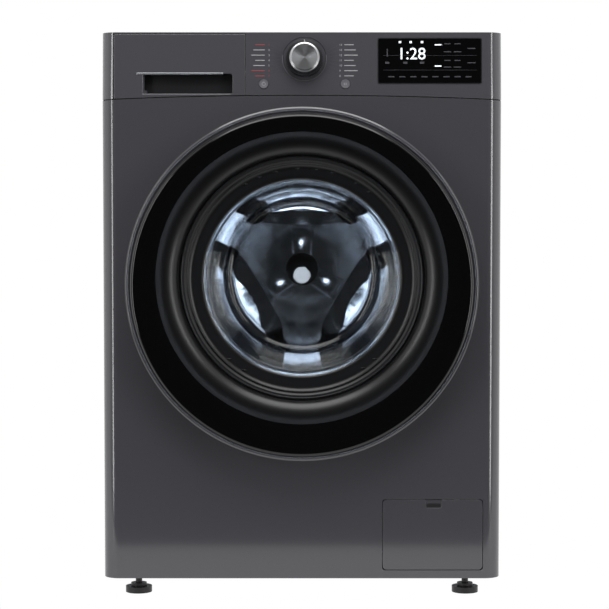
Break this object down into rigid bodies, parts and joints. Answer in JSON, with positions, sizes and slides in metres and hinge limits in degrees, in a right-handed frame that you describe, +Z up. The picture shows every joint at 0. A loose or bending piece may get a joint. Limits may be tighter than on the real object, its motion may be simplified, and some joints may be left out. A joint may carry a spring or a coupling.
{
  "type": "front load washing machine",
  "caption": "Free-standing front-loading washing machine with a round glazed door, sprung tub with turning drum, detergent drawer, control panel with knob, and levelling feet.",
  "frame": {"origin": "middle of the footprint, on the floor", "axes": "+Z up, -Y towards the door, +X to the right seen from the front"},
  "size_m": [0.6, 0.615, 0.85],
  "materials": {
    "painted_panel": "satin metallic graphite paint",
    "galvanised_sheet": "zinc-coated sheet",
    "gloss_black": "polished black ABS",
    "satin_black_plastic": "moulded satin",
    "window_glass": "pressed clear glass",
    "grey_moulding": "polypropylene",
    "white_moulding": "polyamide",
    "stainless_drum": "bright rolled stainless",
    "bright_steel": "zinc-plated",
    "spun_aluminium": "spun face",
    "satin_button": "satin",
    "lifter_plastic": "satin",
    "grey_rubber": "moulded EPDM",
    "concrete": "cast",
    "motor_windings": "lacquered copper",
    "circuit_board": "solder mask"
  },
  "bodies": {
    "root": {"left_side_panel": "painted_panel", "right_side_panel": "painted_panel", "rear_panel": "galvanised_sheet", "rear_cover": "galvanised_sheet", "base_frame": "galvanised_sheet", "front_panel": "painted_panel", "top_plate": "painted_panel", "control_panel": "painted_panel", "display_window": "gloss_black", "control_board": "circuit_board", "dispenser_housing": "grey_moulding", "inlet_valve": "white_moulding", "door_lock": "white_moulding", "hinge_bracket": "bright_steel", "pump_housing": "grey_moulding", "pump_motor": "motor_windings", "drain_tube": "satin_black_plastic", "drain_outlet": "grey_moulding", "mains_gland": "satin_black_plastic", "transit_caps": "grey_moulding", "cabinet_screws": "bright_steel", "damper_cylinders": "satin_black_plastic", "door_gasket": "grey_rubber", "suspension_springs": "galvanised_sheet", "dispenser_hose": "satin_black_plastic", "sump_hose": "satin_black_plastic", "foot_lock_nuts": "galvanised_sheet"},
    "tub": {"tub_front": "grey_moulding", "tub_rear": "grey_moulding", "upper_counterweight": "concrete", "lower_counterweight": "concrete", "stator": "motor_windings", "drum_bearings": "bright_steel", "shaft_seal": "satin_black_plastic", "heater": "bright_steel", "tub_bolts": "bright_steel", "damper_rods": "bright_steel"},
    "drum": {"drum_shell": "stainless_drum", "drum_front": "stainless_drum", "drum_back": "stainless_drum", "drum_lifters": "lifter_plastic", "drum_spider": "galvanised_sheet", "drive_shaft": "bright_steel", "rotor": "galvanised_sheet"},
    "door": {"door_ring": "gloss_black", "door_frame": "satin_black_plastic", "door_glass": "window_glass"},
    "door_hook": {"door_hook": "bright_steel"},
    "drawer": {"drawer_front": "painted_panel", "drawer_tray": "grey_moulding"},
    "knob": {"programme_knob": "spun_aluminium"},
    "power_button": {"power_button": "satin_button"},
    "start_button": {"start_button": "satin_button"},
    "filter_cover": {"filter_cover": "painted_panel"},
    "drain_filter": {"drain_filter": "grey_moulding"},
    "pump_impeller": {"pump_impeller": "grey_moulding"},
    "foot_front_left": {"foot_front_left": "satin_black_plastic"},
    "foot_front_right": {"foot_front_right": "satin_black_plastic"},
    "foot_rear_left": {"foot_rear_left": "satin_black_plastic"},
    "foot_rear_right": {"foot_rear_right": "satin_black_plastic"}
  },
  "joints": [
    {"name": "tub_suspension", "type": "slide", "parent": "root", "child": "tub", "axis": [0, 0, 1], "range_m": [-0.006, 0.006], "stiffness_N_per_m": 20000, "springref_m": 0.01666, "deforming": ["suspension_springs", "door_gasket", "dispenser_hose", "sump_hose"]},
    {"name": "drum_spin", "type": "hinge", "parent": "tub", "child": "drum", "pos_m": [0, 0, 0.4835], "axis": [0, 1, 0], "continuous": true},
    {"name": "door_hinge", "type": "hinge", "parent": "root", "child": "door", "pos_m": [-0.233, -0.2955, 0.4724], "axis": [0, 0, -1], "range_deg": [0, 135]},
    {"name": "hook_catch", "type": "hinge", "parent": "door", "child": "door_hook", "pos_m": [0.197, -0.274, 0.4724], "axis": [0, 0, 1], "range_deg": [0, 10], "stiffness_Nm_per_rad": 0.3},
    {"name": "drawer_slide", "type": "slide", "parent": "root", "child": "drawer", "axis": [0, -1, 0], "range_m": [0, 0.215]},
    {"name": "knob_turn", "type": "hinge", "parent": "root", "child": "knob", "pos_m": [0.004, -0.25243, 0.80998], "axis": [0, -0.9962, 0.0872], "continuous": true},
    {"name": "power_press", "type": "slide", "parent": "root", "child": "power_button", "axis": [0, 0.9962, -0.0872], "range_m": [0, 0.001], "stiffness_N_per_m": 600},
    {"name": "start_press", "type": "slide", "parent": "root", "child": "start_button", "axis": [0, 0.9962, -0.0872], "range_m": [0, 0.001], "stiffness_N_per_m": 600},
    {"name": "filter_cover_hinge", "type": "hinge", "parent": "root", "child": "filter_cover", "pos_m": [0.1975, -0.2545, 0.0462], "axis": [1, 0, 0], "range_deg": [0, 90]},
    {"name": "filter_turn", "type": "hinge", "parent": "root", "child": "drain_filter", "pos_m": [0.1975, -0.24, 0.094], "axis": [0, -1, 0], "range_deg": [0, 90]},
    {"name": "impeller_spin", "type": "hinge", "parent": "root", "child": "pump_impeller", "pos_m": [0.1975, -0.12, 0.094], "axis": [0, 1, 0], "continuous": true},
    {"name": "foot_front_left_screw", "type": "slide", "parent": "root", "child": "foot_front_left", "axis": [0, 0, -1], "range_m": [0, 0.012]},
    {"name": "foot_front_right_screw", "type": "slide", "parent": "root", "child": "foot_front_right", "axis": [0, 0, -1], "range_m": [0, 0.012]},
    {"name": "foot_rear_left_screw", "type": "slide", "parent": "root", "child": "foot_rear_left", "axis": [0, 0, -1], "range_m": [0, 0.012]},
    {"name": "foot_rear_right_screw", "type": "slide", "parent": "root", "child": "foot_rear_right", "axis": [0, 0, -1], "range_m": [0, 0.012]}
  ]
}
